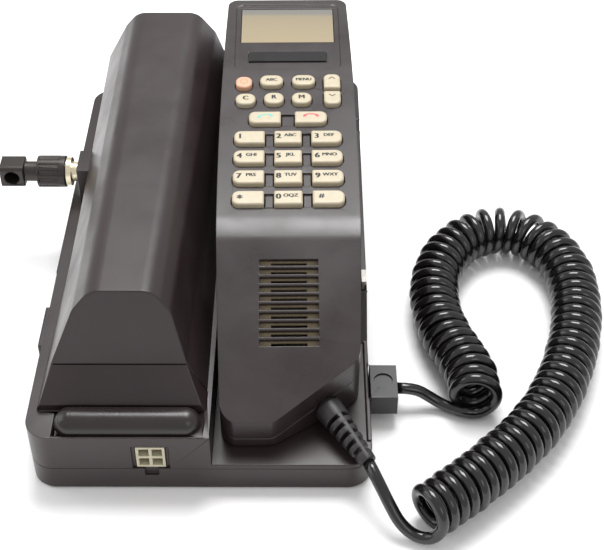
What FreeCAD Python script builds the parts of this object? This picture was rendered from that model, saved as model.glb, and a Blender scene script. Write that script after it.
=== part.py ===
import FreeCAD, Part
import math
import os
import Sketcher

# Transportable telephone: a flat transceiver base with a battery pack on the left, a corded
# handset lying in the cradle on the right, a curly cord and a swivelling antenna adaptor.
# Origin: centre of the base's flat underside. +X to the handset's side, +Y to the rear, +Z up.

V = FreeCAD.Vector
doc = FreeCAD.newDocument("transportable_phone")

# ---------------------------------------------------------------- driving dimensions, mm
DIMENSIONS = {
    # base: lower case, upper case, module block on the left, bay and cradle on the right
    "base_width": 122, "base_depth": 214, "base_corner": 9, "wall": 2.2, "seam_height": 10.8,
    "deck_height": 27, "bay_height": 13, "bay_left": 4, "cradle_rise_front": -47,
    "cradle_rise_rear": -31, "cradle_low": 26, "cradle_high": 30.5, "head_rest": 33.8,
    "head_rest_front": 74, "rim": 1.6, "rim_rise": 0.8,
    "boss_x": 52, "boss_y": 97, "boss_radius": 3.6, "screw_radius": 1.5, "screw_head": 2.8,
    # battery pack: trapezoid section along Y with a steep front
    "pack_bottom": 27.3, "pack_shoulder": 61, "shoulder_left": -43.5, "shoulder_right": -9.8,
    "pack_top": 68.5, "pack_front": -84.6, "groove_height": 41, "pack_top_front": -76.5,
    "pack_rear": 106.5, "cell_radius": 9.6, "cell_length": 43, "cell_height": 40.5,
    "band_front": -94.2, "band_low": 30,
    # release bar across the front
    "bar_length": 51.4, "bar_radius": 5.5, "bar_x": -25, "bar_y": -100.2, "bar_z": 27.5,
    "bar_flat": 24.4, "trough_floor": 23.2,
    # power socket in the front wall
    "socket_size": 10.2, "socket_x": -17.25, "socket_z": 16.4, "socket_depth": 11.6,
    # antenna adaptor, axis along X
    "antenna_y": 30, "antenna_z": 38, "nut_radius": 6.6, "elbow_size": 10,
    # handset, in its own frame: keypad plane z = 0, bend line y = 0, centre x = 0
    "handset_x": 30.7, "handset_y": -32, "handset_z": 60, "handset_tilt": 4,
    "handset_yaw": 0.8,
    "handset_top": 147, "handset_foot": -69.5, "face_drop": 28.4, "handset_half_top": 26.2,
    "handset_half_middle": 27.6, "handset_half_foot": 24.5, "parting": 14, "foot_parting": 37.6,
    "grip_depth": 22, "face_angle": 22.2, "bend_radius": 30,
    "window_width": 40.5, "window_low": 115.5, "window_high": 140.5,
    "badge_width": 33.5, "badge_low": 101.2, "badge_high": 108.2,
    "bezel_width": 45, "bezel_low": 96, "bezel_high": 143.2,
    "slot_first": 14.5, "slot_pitch": 3.46, "slot_width": 21.5, "slot_height": 2.4,
    # keys
    "key_rise": 2, "key_root": 3.5, "key_gap": 0.3, "trough_depth": 0.8,
    # cord
    "wire_radius": 2.2, "coil_radius": 10.25, "boot_length": 27.5,
}

dims = doc.addObject("Spreadsheet::Sheet", "dims")
for row, (alias, number) in enumerate(DIMENSIONS.items(), start=1):
    dims.set("A%d" % row, alias)
    dims.set("B%d" % row, str(number))
    dims.setAlias("B%d" % row, alias)
doc.recompute()


def num(expression):
    """The value of a number or of an expression on the sheet."""
    if isinstance(expression, (int, float)):
        return float(expression)
    value = dims.evalExpression(expression)
    return float(getattr(value, "Value", value))


def bind(thing, prop, expression):
    """Bind a property to an expression, or set it to a plain number."""
    if isinstance(expression, (int, float)):
        thing.setExpression(prop, repr(float(expression)))
    else:
        thing.setExpression(prop, expression)


def place(thing, at):
    for axis, expression in zip("xyz", at):
        bind(thing, "Placement.Base." + axis, expression)


def box(name, at, size):
    """Part::Box with its low corner and its three sizes bound to the sheet."""
    thing = doc.addObject("Part::Box", name)
    for prop, expression in zip(("Length", "Width", "Height"), size):
        bind(thing, prop, expression)
    place(thing, at)
    return thing


AXES = {"X": FreeCAD.Rotation(V(0, 1, 0), 90), "Y": FreeCAD.Rotation(V(1, 0, 0), -90),
        "Z": FreeCAD.Rotation()}


def rod(name, at, radius, height, axis="Z"):
    """A cylinder standing on the point `at` along +axis."""
    thing = doc.addObject("Part::Cylinder", name)
    thing.Placement.Rotation = AXES[axis]
    bind(thing, "Radius", radius)
    bind(thing, "Height", height)
    place(thing, at)
    return thing


def ball(name, at, radius):
    thing = doc.addObject("Part::Sphere", name)
    bind(thing, "Radius", radius)
    place(thing, at)
    return thing


def fuse(name, pieces):
    thing = doc.addObject("Part::MultiFuse", name)
    thing.Shapes = pieces
    thing.Refine = True
    return thing


def cut(name, base, tools):
    thing = doc.addObject("Part::Cut", name)
    thing.Base = base
    thing.Tool = tools[0] if len(tools) == 1 else fuse(name + "_tools", tools)
    return thing


def common(name, first, second):
    thing = doc.addObject("Part::Common", name)
    thing.Base = first
    thing.Tool = second
    return thing


def group(name, pieces):
    """Several separate solids as one node."""
    thing = doc.addObject("Part::Compound", name)
    thing.Links = pieces
    return thing


def new_body(name):
    return doc.addObject("PartDesign::Body", name)


def outline(body, role, points, shift=0, tilt=0):
    """Closed sketch of straight lines on one of the body's planes; each corner is bound."""
    sketch = body.newObject("Sketcher::SketchObject", body.Name + "_outline")
    plane = [f for f in body.Origin.OriginFeatures if f.Role == role][0]
    sketch.AttachmentSupport = [(plane, "")]
    sketch.MapMode = "FlatFace"
    sketch.AttachmentOffset = FreeCAD.Placement(V(0, 0, num(shift)),
                                                FreeCAD.Rotation(V(1, 0, 0), num(tilt)))
    if shift:
        bind(sketch, "AttachmentOffset.Base.z", shift)
    corners = [V(num(x), num(y), 0) for x, y in points]
    count = len(corners)
    for i, corner in enumerate(corners):
        sketch.addGeometry(Part.LineSegment(corner, corners[(i + 1) % count]), False)
    for i in range(count):
        sketch.addConstraint(Sketcher.Constraint("Coincident", i, 2, (i + 1) % count, 1))
    for i, (x, y) in enumerate(points):
        for kind, expression in (("DistanceX", x), ("DistanceY", y)):
            index = sketch.addConstraint(
                Sketcher.Constraint(kind, -1, 1, i, 1, num(expression)))
            sketch.renameConstraint(index, "%s%d" % (kind[-1].lower(), i))
            if isinstance(expression, str):
                sketch.setExpression("Constraints." + "%s%d" % (kind[-1].lower(), i), expression)
    return sketch


def rectangle(left, low, right, high):
    return [(left, low), (right, low), (right, high), (left, high)]


def pad(body, sketch, length, back=False, middle=False):
    feature = body.newObject("PartDesign::Pad", body.Name + "_pad")
    feature.Profile = sketch
    feature.Reversed = back
    feature.Midplane = middle
    bind(feature, "Length", length)
    doc.recompute()
    return feature


def pocket(body, sketch, length, back=False, middle=False):
    """Cut a sketch out of the body, and make sure that it took something away."""
    before = body.Tip.Shape.Volume
    feature = body.newObject("PartDesign::Pocket", body.Name + "_pocket")
    feature.Profile = sketch
    feature.Reversed = back
    feature.Midplane = middle
    bind(feature, "Length", length)
    doc.recompute()
    if feature.Shape.isNull() or feature.Shape.Volume > before - 0.01:
        raise ValueError(body.Name + ": a pocket cuts nothing")
    return feature


def round_edges(body, wanted, radius):
    """Fillet every edge of the body for which wanted(edge) is true."""
    base = body.Tip
    names = ["Edge%d" % i for i, edge in enumerate(base.Shape.Edges, start=1) if wanted(edge)]
    if not names:
        raise ValueError(body.Name + ": no edge to round")
    feature = body.newObject("PartDesign::Fillet", body.Name + "_fillet")
    feature.Base = (base, names)
    bind(feature, "Radius", radius)
    doc.recompute()
    if feature.Shape.isNull() or not feature.Shape.isValid():
        raise ValueError(body.Name + ": fillet failed")
    return feature


def runs_along(edge, axis, least=0.0):
    """True for a straight edge along X, Y or Z that is longer than least."""
    if edge.Curve.TypeId != "Part::GeomLine" or edge.Length <= least:
        return False
    line = edge.Vertexes[1].Point - edge.Vertexes[0].Point
    return abs(abs(getattr(line, axis)) - line.Length) < 1e-6


NODES = []


def node(thing, label, placement=None):
    """Give a finished sub-part its own name and place."""
    if placement is not None and thing.TypeId in ("Part::Box", "Part::Cylinder"):
        thing = group(thing.Name + "_placed", [thing])
    thing.Label = label
    if placement is not None:
        thing.Placement = placement
    NODES.append(thing)
    return thing


# ---------------------------------------------------------------- base, lower case
BOSSES = [("%sdims.boss_x" % sx, "%sdims.boss_y" % sy) for sx in ("", "-") for sy in ("", "-")]


def base_slab(name, low, high, inset, corner):
    """A slab with the base's rounded outline, inset by a wall, between two heights."""
    body = new_body(name)
    half_x = "dims.base_width / 2 - %s" % inset
    half_y = "dims.base_depth / 2 - %s" % inset
    sketch = outline(body, "XY_Plane",
                     rectangle("-(%s)" % half_x, "-(%s)" % half_y, half_x, half_y), low)
    pad(body, sketch, "%s - (%s)" % (high, low))
    round_edges(body, lambda edge: runs_along(edge, "z"), corner)
    return body


def lower_case():
    shell = base_slab("lower_outer", "0", "dims.seam_height", "0", "dims.base_corner")
    round_edges(shell, lambda edge: edge.BoundBox.ZMax < 0.01, 1.2)
    hollow = base_slab("lower_hollow", "dims.wall", "dims.seam_height + 1", "dims.wall",
                       "dims.base_corner - dims.wall")
    tray = cut("lower_tray", shell, [hollow])
    posts = [rod("lower_post", (x, y, 1), "dims.boss_radius", "dims.seam_height - 1.1")
             for x, y in BOSSES]
    bores = [rod("lower_bore", (x, y, -1), "dims.screw_radius + 0.2", 14) for x, y in BOSSES]
    sinks = [rod("lower_sink", (x, y, -1), "dims.screw_head + 0.2", 3.4) for x, y in BOSSES]
    plug_way = box("lower_plug_way", (57, -71.4, 4.9), (6, 9.4, 5.4))
    latch_way = box("latch_way", ("dims.socket_x - 2.4", -109, "dims.seam_height - 3.6"),
                    (4.8, 3.4, 5))
    return node(cut("lower_case", fuse("lower_with_posts", [tray] + posts),
                    bores + sinks + [plug_way, latch_way]), "base_lower_case")


lower_case()


# ---------------------------------------------------------------- base, upper case
def prism(name, role, points, start, length, back=False):
    """A closed outline on a plane, padded from `start` along the plane's normal."""
    body = new_body(name)
    pad(body, outline(body, role, points, start), length, back)
    return body


# the pack's section from the left foot over the top to the right foot, as (x, z, radius of the
# corner): it is wider at the rear, and its feet flare out at the front
PACK_FRONT = [(-57.8, 27.3, 0), (-51.9, 41.5, 0), (-43.5, 61, 5), (-37, 68.5, 8),
              (-15.5, 68.5, 8), (-9.9, 61, 5), (-4.9, 41, 0), (2, 27.3, 0)]
PACK_REAR = [(-54.6, 27.3, 0), (-52.6, 46, 0), (-43.6, 62, 5), (-38, 68.5, 8),
             (-11.4, 68.5, 8), (-3.6, 58.5, 5), (0.9, 46, 0), (1.8, 27.3, 0)]
INSET_WAY = [(1.1, 0), (1.05, -0.2), (0.9, -0.5), (0.4, -1),
             (-0.4, -1), (-0.9, -0.5), (-1.05, -0.2), (-1.1, 0)]


def pack_section(body, corners, y, inset):
    """A sketch of the pack's section at one place along its length, its corners rounded."""
    points = [V(x + inset * ix, z + inset * iz, 0)
              for (x, z, _), (ix, iz) in zip(corners, INSET_WAY)]
    ends = []
    for i, (point, corner) in enumerate(zip(points, corners)):
        before = (points[i - 1] - point).normalize()
        after = (points[(i + 1) % len(points)] - point).normalize()
        half = before.getAngle(after) / 2
        back = corner[2] / math.tan(half)
        bulge = corner[2] / math.sin(half) - corner[2]
        ends.append((point + before * back, point + (before + after).normalize() * bulge,
                     point + after * back, corner[2]))
    sketch = body.newObject("Sketcher::SketchObject", body.Name + "_section")
    plane = [f for f in body.Origin.OriginFeatures if f.Role == "XZ_Plane"][0]
    sketch.AttachmentSupport = [(plane, "")]
    sketch.MapMode = "FlatFace"
    sketch.AttachmentOffset = FreeCAD.Placement(V(0, 0, -y), FreeCAD.Rotation())
    for (start, middle, end, radius), following in zip(ends, ends[1:] + ends[:1]):
        if radius:
            sketch.addGeometry(Part.Arc(start, middle, end), False)
        sketch.addGeometry(Part.LineSegment(end, following[0]), False)
    return sketch


def pack_solid(name, inset, side):
    """The battery pack's outer shape, or the same shape inset by a wall, cut to a side view."""
    body = new_body(name)
    sections = [pack_section(body, corners, y, inset)
                for corners, y in ((PACK_FRONT, -96), (PACK_REAR, 108))]
    doc.recompute()
    loft = body.newObject("PartDesign::AdditiveLoft", name + "_loft")
    loft.Profile, loft.Sections, loft.Ruled = sections[0], [sections[1]], True
    doc.recompute()
    keep = prism(name + "_side", "YZ_Plane", side, -80, 120)
    return common(name + "_cut", body, keep)


def upper_case():
    outer = base_slab("upper_outer", "dims.seam_height", "dims.head_rest", "0",
                      "dims.base_corner")
    # over the module block everything above the deck goes; over the bay, above the cradle's line
    over_deck = box("over_deck", (-70, -120, "dims.deck_height"), ("70 + dims.bay_left", 240, 30))
    cradle_line = [(-120, "dims.bay_height"), ("dims.cradle_rise_front", "dims.bay_height"),
                   ("dims.cradle_rise_rear", "dims.cradle_low"),
                   ("dims.head_rest_front - 5", "dims.cradle_high"),
                   ("dims.head_rest_front", "dims.head_rest"), (120, "dims.head_rest"),
                   (120, 60), (-120, 60)]
    over_bay = prism("over_bay", "YZ_Plane", cradle_line, "dims.bay_left", 80)
    hollow_left = box("hollow_left", ("-dims.base_width / 2 + dims.wall", -92, 5),
                      ("dims.base_width / 2 + dims.bay_left - 2 * dims.wall",
                       "92 + dims.base_depth / 2 - dims.wall", "dims.deck_height - 5 - dims.wall"))
    hollow_front = box("hollow_front", ("-dims.base_width / 2 + dims.wall",
                                        "-dims.base_depth / 2 + dims.wall", 5),
                       ("dims.base_width / 2 + dims.bay_left - 2 * dims.wall", 14, 14))
    under_cradle = [(-40, 5), (-40, "dims.bay_height - dims.wall"),
                    ("dims.cradle_rise_rear + 1.6", "dims.cradle_low - 2.4"),
                    ("dims.head_rest_front - 5", "dims.cradle_high - 2.4"),
                    ("dims.head_rest_front + 1", "dims.head_rest - dims.wall"),
                    ("dims.base_depth / 2 - dims.wall", "dims.head_rest - dims.wall"),
                    ("dims.base_depth / 2 - dims.wall", 5)]
    hollow_right = prism("hollow_right", "YZ_Plane", under_cradle, "dims.bay_left - 4",
                         "dims.base_width / 2 - dims.bay_left - dims.wall + 4")
    trough = box("bar_trough", ("dims.bar_x - dims.bar_length / 2 - 0.4",
                                "dims.bar_y - dims.bar_radius - 0.3", "dims.trough_floor"),
                 ("dims.bar_length + 0.8", "dims.bar_radius * 2 + 0.6", 6))
    socket_way = box("socket_way", ("dims.socket_x - dims.socket_size / 2 - 0.2", -110,
                                    "dims.socket_z - dims.socket_size / 2 - 0.2"),
                     ("dims.socket_size + 0.4", "dims.socket_depth + 4",
                      "dims.socket_size + 0.4"))
    socket_recess = box("socket_recess", ("dims.socket_x - 6.5", -110, "dims.seam_height - 1"),
                        (13, 4, 12.6))
    contact_ways = [rod("contact_way", (x, -70, 20), 2.1, 12) for x in (-40, -27, -14)]
    clip_way = box("clip_way", (58.3, -30.3, 22), (2.4, 7.6, 20))
    plug_way = box("upper_plug_way", (60.4, -75.6, 2), (2, 17.8, 12))
    posts = [rod("upper_post", (x, y, "dims.seam_height"), "dims.boss_radius", 2.1)
             for x, y in BOSSES]
    tall = [rod("upper_tall_post", (x, y, "dims.seam_height"), "dims.boss_radius", 13.5)
            for x, y in BOSSES]
    # the band in front of the pack and the pillar that carries the antenna socket
    band = pack_solid("band", 0, [("dims.band_front", 27), ("dims.band_front", "dims.band_low"),
                                    ("dims.pack_front - 0.4", "dims.groove_height"),
                                    ("dims.pack_front - 0.4", 27)])
    band_foot = box("band_foot", (-57, "dims.band_front", 25), (59, 9.2, 2.5))
    pillar = box("antenna_pillar", (-57.5, "dims.antenna_y - 7", 25), (5.5, 14, 18.5))
    rim = box("bay_rim", ("dims.base_width / 2 - dims.rim", -96, "dims.bay_height - 1"),
              ("dims.rim", 50, "1 + dims.rim_rise"))
    screw_bores = [rod("upper_bore", (x, y, 5), "dims.screw_radius + 0.05", 10)
                   for x, y in BOSSES]
    socket_bore = rod("pillar_bore", (-66, "dims.antenna_y", "dims.antenna_z"), 3.4, 12.6, "X")
    inner = base_slab("upper_inner", "5", "dims.head_rest", "dims.wall",
                      "dims.base_corner - dims.wall")
    room = common("upper_room", fuse("hollows", [hollow_left, hollow_front, hollow_right]), inner)
    shell = cut("upper_shell", outer, [over_deck, over_bay, room])
    solid = fuse("upper_solid", [shell, band, band_foot, pillar, rim] + posts[:2] + tall[2:])
    return node(cut("upper_case", solid,
                    [trough, socket_way, socket_recess, clip_way, plug_way, socket_bore]
                    + contact_ways + screw_bores), "base_upper_case")


upper_case()


# ---------------------------------------------------------------- inside the base
def base_insides():
    top = "dims.seam_height - 2.8"
    node(box("board", (-57, -90, top), (58, 182, 1.6)), "transceiver_board")
    cans = []
    for i, (y, depth) in enumerate(((-86, 52), (-30, 40), (14, 62))):
        lid = box("can_outer%d" % i, (-54, y, "dims.seam_height - 1.2"), (34, depth, 7))
        room = box("can_room%d" % i, (-53.5, y + 0.5, "dims.seam_height - 1.7"),
                   (33, depth - 1, 7))
        cans.append(cut("can%d" % i, lid, [room]))
    node(group("cans", cans), "rf_shield_cans")
    block = box("filter_block", (-16, -60, "dims.seam_height - 1.2"), (14, 60, 9))
    tuners = [rod("tuner", (-9, y, "dims.seam_height + 7"), 2, 3) for y in (-50, -36, -22, -8)]
    node(fuse("filter", [block] + tuners), "duplexer_filter")
    plate = box("sink_plate", (10, -24, 3), (44, 84, 3.5))
    fins = [box("sink_fin", (10 + 6 * i, -24, 6), (2, 84, 14)) for i in range(8)]
    node(fuse("sink", [plate] + fins), "heat_sink")
    shanks = []
    for x, y in BOSSES:
        head = rod("screw_head", (x, y, 0.35), "dims.screw_head", 1.9)
        shank = rod("screw_shank", (x, y, 2), "dims.screw_radius", 10.4)
        cross = box("screw_cross", ("%s - 1.8" % x, "%s - 0.4" % y, 0), (3.6, 0.8, 1.2))
        shanks.append(cut("screw", fuse("screw_blank", [head, shank]), [cross]))
    node(group("case_screws", shanks), "base_case_screws")


base_insides()


# ---------------------------------------------------------------- sockets in the base's walls
def power_connector():
    half = "dims.socket_size / 2"
    front = "-dims.base_depth / 2 + 0.6"
    housing = box("socket_housing", ("dims.socket_x - %s" % half, front,
                                     "dims.socket_z - %s" % half),
                  ("dims.socket_size", "dims.socket_depth", "dims.socket_size"))
    ways, pins = [], []
    for sx in (-2.35, 2.35):
        for sz in (-2.35, 2.35):
            ways.append(box("way", ("dims.socket_x + %g - 1.8" % sx, "%s - 1" % front,
                                    "dims.socket_z + %g - 1.8" % sz), (3.6, 10, 3.6)))
            pins.append(box("pin", ("dims.socket_x + %g - 0.6" % sx, "%s + 2" % front,
                                    "dims.socket_z + %g - 0.6" % sz), (1.2, 9.5, 1.2)))
    holes = [box("pin_hole", ("dims.socket_x + %g - 0.7" % sx, front,
                              "dims.socket_z + %g - 0.7" % sz), (1.4, 14, 1.4))
             for sx in (-2.35, 2.35) for sz in (-2.35, 2.35)]
    node(cut("socket_2x2", housing, ways + holes), "power_socket")
    node(group("socket_pins", pins), "power_socket_pins")


def handset_connector():
    shell = box("jack_shell", (50, -73, 3.4), (8.6, 12.6, 7.2))
    room = box("jack_room", (52, -71.2, 5.1), (8, 9, 5))
    node(cut("jack", shell, [room]), "handset_socket")
    block = box("plug_block", (61.2, -75.2, 4.6), (10.3, 16.6, 9))
    nose = box("plug_nose", (53, -70.6, 5.5), (9, 7.8, 4.2))
    dish = rod("plug_dish", (66.3, -66.4, 12.9), 3.6, 3)
    node(cut("plug", fuse("plug_blank", [block, nose]), [dish]), "cord_plug")


def antenna_parts():
    y, z = "dims.antenna_y", "dims.antenna_z"
    tail = rod("jack_tail", (-57.5, y, z), 3.3, 4, "X")
    barrel = rod("jack_barrel", (-60.5, y, z), 4.1, 3, "X")
    collar = rod("jack_collar", (-62.4, y, z), 6, 2, "X")
    stub = rod("jack_stub", (-68.2, y, z), 4, 6, "X")
    node(cut("antenna_jack", fuse("antenna_jack_blank", [tail, barrel, collar, stub]),
             [rod("jack_bore", (-69, y, z), 1.6, 6, "X")]), "antenna_socket")
    sleeve = rod("nut_sleeve", (-74.5, y, z), "dims.nut_radius", 11.7, "X")
    throat = rod("nut_throat", (-75, y, z), 4.5, 14, "X")
    room = rod("nut_room", (-72.8, y, z), 5.6, 4.6, "X")
    flutes = []
    for i in range(12):
        turn = math.radians(30 * i)
        flutes.append(rod("nut_flute", (-73.5, "%s + %g" % (y, 7.3 * math.cos(turn)),
                                        "%s + %g" % (z, 7.3 * math.sin(turn))), 1.1, 8, "X"))
    node(cut("coupling_nut", sleeve, [throat, room] + flutes), "antenna_coupling_nut")
    half = "dims.elbow_size / 2"
    block = new_body("elbow_block")
    pad(block, outline(block, "XY_Plane",
                       rectangle(-90, "%s - %s" % (y, half), "-90 + dims.elbow_size",
                                 "%s + %s" % (y, half)), "%s - %s" % (z, half)),
        "dims.elbow_size")
    round_edges(block, lambda edge: runs_along(edge, "x"), 1.8)
    neck = rod("elbow_neck", (-80.5, y, z), 4.2, 11.3, "X")
    flange = rod("elbow_flange", (-71.6, y, z), 5.3, 2.4, "X")
    hole = rod("elbow_hole", (-85, "%s - 6" % y, z), 3, 8, "Y")
    node(cut("elbow", fuse("elbow_blank", [block, neck, flange]), [hole]), "antenna_elbow")


def left_side_fittings():
    rail = box("rail", (-61.9, -19, 21.5), (0.9, 67, 3.6))
    lug = box("lug", (-62.7, -61, 13.5), (1.7, 21, 12.5))
    slot = box("lug_slot", (-63, -57.5, 17.2), (1.4, 14, 5))
    node(group("side_fittings", [rail, cut("lug_slotted", lug, [slot])]), "side_rail")
    contacts = [rod("contact", (x, -70, 23.5), 2, 3.6) for x in (-40, -27, -14)]
    node(group("deck_contacts", contacts), "battery_contacts")
    leaf = box("clip_leaf", (58.9, -30, 22.2), (1.2, 7, 8.2))
    barb = box("clip_barb", (58.9, -30, 28.8), (1.8, 7, 1.6))
    node(fuse("clip", [leaf, barb]), "cradle_clip")


power_connector()
handset_connector()
antenna_parts()
left_side_fittings()


# ---------------------------------------------------------------- battery pack
def battery_pack():
    side = [("dims.pack_front", "dims.pack_bottom"), ("dims.pack_front", "dims.groove_height"),
            ("dims.pack_top_front", "dims.pack_top + 1"), ("dims.pack_rear", "dims.pack_top + 1"),
            ("dims.pack_rear", "dims.pack_bottom")]
    room = [("dims.pack_front + dims.wall", "dims.pack_bottom - 1"),
            ("dims.pack_front + dims.wall", "dims.groove_height"),
            ("dims.pack_top_front + dims.wall", "dims.pack_top + 1"),
            ("dims.pack_rear - dims.wall", "dims.pack_top + 1"),
            ("dims.pack_rear - dims.wall", "dims.pack_bottom - 1")]
    outer = pack_solid("pack_outer", 0, side)
    scoop = box("pack_scoop", (-66, "dims.antenna_y - 8.2", 20), (14.8, 16.4, 24.8))
    scoop_wall = box("pack_scoop_wall", (-66, "dims.antenna_y - 9.8", 20), (16.4, 19.6, 26.4))
    hollow = cut("pack_hollow", pack_solid("pack_room", num("dims.wall"), room), [scoop_wall])
    node(cut("pack_cover", outer, [hollow, scoop]), "battery_cover")
    slab = box("tray_slab", (-60, -90, "dims.pack_bottom"), (70, 200, 2))
    node(common("pack_tray", hollow, slab), "battery_tray")
    cells, links = [], []
    middle = "(dims.shoulder_left + dims.shoulder_right) / 2"
    for row in range(4):
        y = -76 + row * 43.6
        for side_sign in (-1, 1):
            x = "%s + %d * (dims.cell_radius + 0.2)" % (middle, side_sign)
            cells.append(rod("cell", (x, y, "dims.cell_height"), "dims.cell_radius",
                             "dims.cell_length", "Y"))
        links.append(box("link", ("%s - 12" % middle, y + 18,
                                  "dims.cell_height + dims.cell_radius"), (24, 6, 0.4)))
    node(group("pack_cells", cells), "battery_cells")
    node(group("pack_links", links), "battery_terminals")


def release_bar():
    half = "(dims.bar_length / 2 - dims.bar_radius)"
    y, z = "dims.bar_y", "dims.bar_z"
    core = rod("bar_core", ("dims.bar_x - %s" % half, y, z), "dims.bar_radius",
               "dims.bar_length - 2 * dims.bar_radius", "X")
    ends = [ball("bar_end", ("dims.bar_x %s %s" % (sign, half), y, z), "dims.bar_radius")
            for sign in ("-", "+")]
    below = box("bar_below", (-70, -120, 10), (80, 40, "dims.bar_flat - 10"))
    wells = [rod("bar_well", ("dims.bar_x + %d" % x, y, 20), 2.3, 10.2) for x in (-14, 14)]
    node(cut("bar", fuse("bar_blank", [core] + ends), [below] + wells), "battery_release_bar")
    springs = []
    for x in (-14, 14):
        at = V(num("dims.bar_x") + x, num(y), num("dims.trough_floor") + 0.3)
        helix = Part.makeHelix(1.3, 6.0, 1.6)
        ring = Part.Wire([Part.makeCircle(0.22, V(1.6, 0, 0), V(0, 1, 0))])
        coil = Part.Wire(helix.Edges).makePipeShell([ring], True, True)
        coil.translate(at)
        springs.append(coil)
    thing = doc.addObject("Part::Feature", "springs")
    thing.Shape = Part.makeCompound(springs)
    node(thing, "release_springs")


battery_pack()
release_bar()

# ---------------------------------------------------------------- handset
HANDSET = FreeCAD.Placement(V(num("dims.handset_x"), num("dims.handset_y"),
                              num("dims.handset_z")),
                            FreeCAD.Rotation(V(0, 0, 1), num("dims.handset_yaw")).multiply(
                                FreeCAD.Rotation(V(1, 0, 0), num("dims.handset_tilt"))))
FACE = HANDSET.multiply(FreeCAD.Placement(V(), FreeCAD.Rotation(V(1, 0, 0),
                                                                num("dims.face_angle"))))
TOP_LINE = [("dims.handset_top", 0), (0, 0), ("dims.handset_foot", "-dims.face_drop")]
PARTING_LINE = [("dims.handset_foot", "-dims.foot_parting"), (-55, -32), (0, "-dims.parting"),
                ("dims.handset_top", "-dims.parting")]
UNDER_LINE = [("dims.handset_top", -36.2), (112, -33.8), (98, "-dims.grip_depth"),
              (-8, "-dims.grip_depth"), (-24, -44.8), ("dims.handset_foot", -41.6)]
BOOT_AT = V(13.2, -56.6, -35.4)          # middle of the strain relief's collar
BOOT_WAY = V(0.52, -0.85, -0.085)        # the way it points out of the handset


def handset_plan(name):
    """The handset seen from above: bowed sides and one corner cut off where the cord leaves."""
    body = new_body(name)
    sketch = body.newObject("Sketcher::SketchObject", name + "_plan")
    plane = [f for f in body.Origin.OriginFeatures if f.Role == "XY_Plane"][0]
    sketch.AttachmentSupport = [(plane, "")]
    sketch.MapMode = "FlatFace"
    sketch.AttachmentOffset = FreeCAD.Placement(V(0, 0, -60), FreeCAD.Rotation())
    top, foot = num("dims.handset_top"), num("dims.handset_foot") - 0.5
    half_top, half_mid = num("dims.handset_half_top"), num("dims.handset_half_middle")
    half_foot = num("dims.handset_half_foot")
    left = Part.Arc(V(-half_foot, foot, 0), V(-half_mid, 50, 0), V(-half_top, top, 0))
    right = Part.Arc(V(half_top, top, 0), V(half_mid, 50, 0), V(half_foot + 0.9, -48, 0))
    corners = [V(-half_top, top, 0), V(half_top, top, 0)]
    chain = [left, Part.LineSegment(corners[0], corners[1]), right,
             Part.LineSegment(V(half_foot + 0.9, -48, 0), V(-6.5, foot, 0)),
             Part.LineSegment(V(-6.5, foot, 0), V(-half_foot, foot, 0))]
    for piece in chain:
        sketch.addGeometry(piece, False)
    pad(body, sketch, 70)
    for near, radius in ((corners[0], 4.5), (corners[1], 4.5), (V(-half_foot, foot, 0), 8),
                         (V(-6.5, foot, 0), 12), (V(half_foot + 0.9, -48, 0), 9)):
        round_edges(body, lambda edge: runs_along(edge, "z") and math.hypot(
            edge.CenterOfMass.x - near.x, edge.CenterOfMass.y - near.y) < 0.5, radius)
    return body


def handset_half(name, line):
    """One half of the handset: a side profile across the full width, trimmed to the plan."""
    body = new_body(name)
    pad(body, outline(body, "YZ_Plane", line), 64, middle=True)
    if line[1] == (0, 0):
        round_edges(body, lambda edge: runs_along(edge, "x")
                    and edge.CenterOfMass.Length < 0.01, num("dims.bend_radius"))
    return common(name + "_trimmed", body, handset_plan(name + "_plan_body"))


LEFT, SQUARE, RIGHT, ALL, HIGH, LOW = -1, 0, 1, 2, 3, 4      # which corners are rounded
KEYS = []                        # (name, centre x, centre y, width, depth, rounded corners)
FIRST_ROW, ROW_PITCH, COLUMN, CALL_ROW = 49.5, 11.8, 15.3, 61.8
for number in range(10):
    row, column = ((number - 1) // 3, (number - 1) % 3 - 1) if number else (3, 0)
    KEYS.append(("key_%d" % number, COLUMN * column, FIRST_ROW - ROW_PITCH * row,
                 10.9 if column == 0 else 12.2, 7.6, column))
KEYS += [("key_star", -COLUMN, FIRST_ROW - 3 * ROW_PITCH, 12.2, 7.6, LEFT),
         ("key_hash", COLUMN, FIRST_ROW - 3 * ROW_PITCH, 12.2, 7.6, RIGHT),
         ("key_send", -9.3, CALL_ROW, 13, 7.4, LEFT), ("key_end", 9.3, CALL_ROW, 13, 7.4, RIGHT),
         ("key_clear", -17.3, 73.7, 8.2, 7.2, ALL), ("key_recall", -5.7, 74.2, 8.1, 7.2, ALL),
         ("key_memory", 5.7, 74.2, 8.1, 7.2, ALL), ("key_down", 18.3, 74.4, 6.9, 8.6, LOW),
         ("key_power", -18.2, 84.9, 6.8, 7.4, ALL), ("key_abc", -6.7, 86.0, 9.6, 7.0, ALL),
         ("key_menu", 6.6, 86.1, 9.6, 7.0, ALL), ("key_up", 18.4, 85.4, 6.9, 9.2, HIGH)]


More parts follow.
